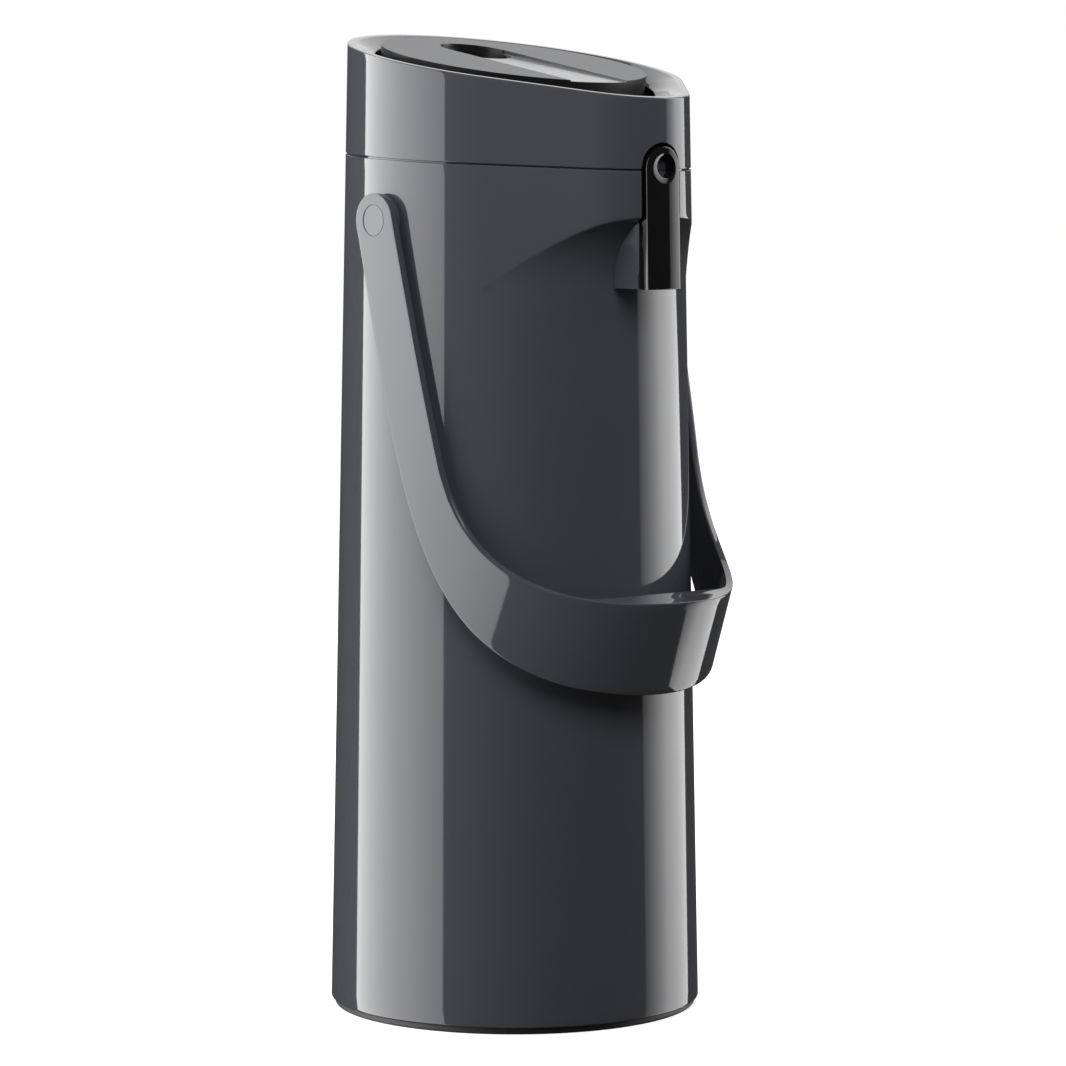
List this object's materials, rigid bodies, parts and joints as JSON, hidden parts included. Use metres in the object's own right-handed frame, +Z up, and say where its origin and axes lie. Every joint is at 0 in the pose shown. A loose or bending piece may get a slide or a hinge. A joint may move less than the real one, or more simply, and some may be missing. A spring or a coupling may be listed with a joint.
{
  "type": "vacuum pump jug",
  "caption": "Tall tapered glass-lined pump jug with a hinged sloping lid, round press plate, hooded front spout, tilting latch and a swinging carrying band.",
  "frame": {"origin": "centre of the foot's underside, on the jug's axis", "axes": "+Z up the axis, -Y towards the spout and the carrying band's grip, X across the band's pivots"},
  "size_m": [0.1462, 0.1744, 0.3845],
  "materials": {
    "gloss_anthracite": "high-gloss anthracite with a faint blue cast",
    "satin_grey": "satin mid grey",
    "black_plastic": "smooth black",
    "white_plastic": "smooth off-white",
    "black_rubber": "matt black",
    "pale_silicone": "translucent pale silicone",
    "silvered_glass": "glass silvered on the vacuum side",
    "steel": "plain stainless steel"
  },
  "bodies": {
    "jug": {"outer_casing": "gloss_anthracite", "base_cap": "black_plastic", "base_screws": "steel", "foot_pad": "black_rubber", "flask_cushion": "black_rubber", "flask_outer": "silvered_glass", "flask_inner": "silvered_glass", "neck_gasket": "pale_silicone", "neck_collar": "white_plastic", "dip_tube": "white_plastic", "delivery_pipe": "white_plastic", "spout_nozzle": "black_plastic", "spout_hood": "gloss_anthracite", "latch_pin": "steel", "handle_pin_left": "gloss_anthracite", "handle_pin_right": "gloss_anthracite", "handle_washer_left": "white_plastic", "handle_washer_right": "white_plastic", "hinge_pin": "steel"},
    "lid": {"head_shell": "gloss_anthracite", "lid_deck": "white_plastic", "lid_screws": "steel", "lid_gasket": "pale_silicone", "bellows": "pale_silicone", "return_spring": "steel"},
    "pump_button": {"press_button": "satin_grey", "finger_cup": "black_plastic", "bellows_cap": "white_plastic"},
    "latch": {"latch_bar": "black_plastic"},
    "handle": {"handle_band": "gloss_anthracite"}
  },
  "joints": [
    {"name": "handle_swing", "type": "hinge", "parent": "jug", "child": "handle", "pos_m": [0, 0, 0.3113], "axis": [-1, 0, 0], "range_deg": [0, 160]},
    {"name": "lid_hinge", "type": "hinge", "parent": "jug", "child": "lid", "pos_m": [0, 0.0676, 0.3382], "axis": [-1, 0, 0], "range_deg": [0, 95]},
    {"name": "pump_press", "type": "slide", "parent": "lid", "child": "pump_button", "axis": [0, 0, -1], "range_m": [0, 0.014], "stiffness_N_per_m": 600, "springref_m": -0.003, "deforming": ["bellows", "return_spring"]},
    {"name": "latch_tilt", "type": "hinge", "parent": "jug", "child": "latch", "pos_m": [0, -0.0793, 0.2916], "axis": [1, 0, 0], "range_deg": [0, 7], "stiffness_Nm_per_rad": 0.05, "springref_deg": -2.86}
  ]
}
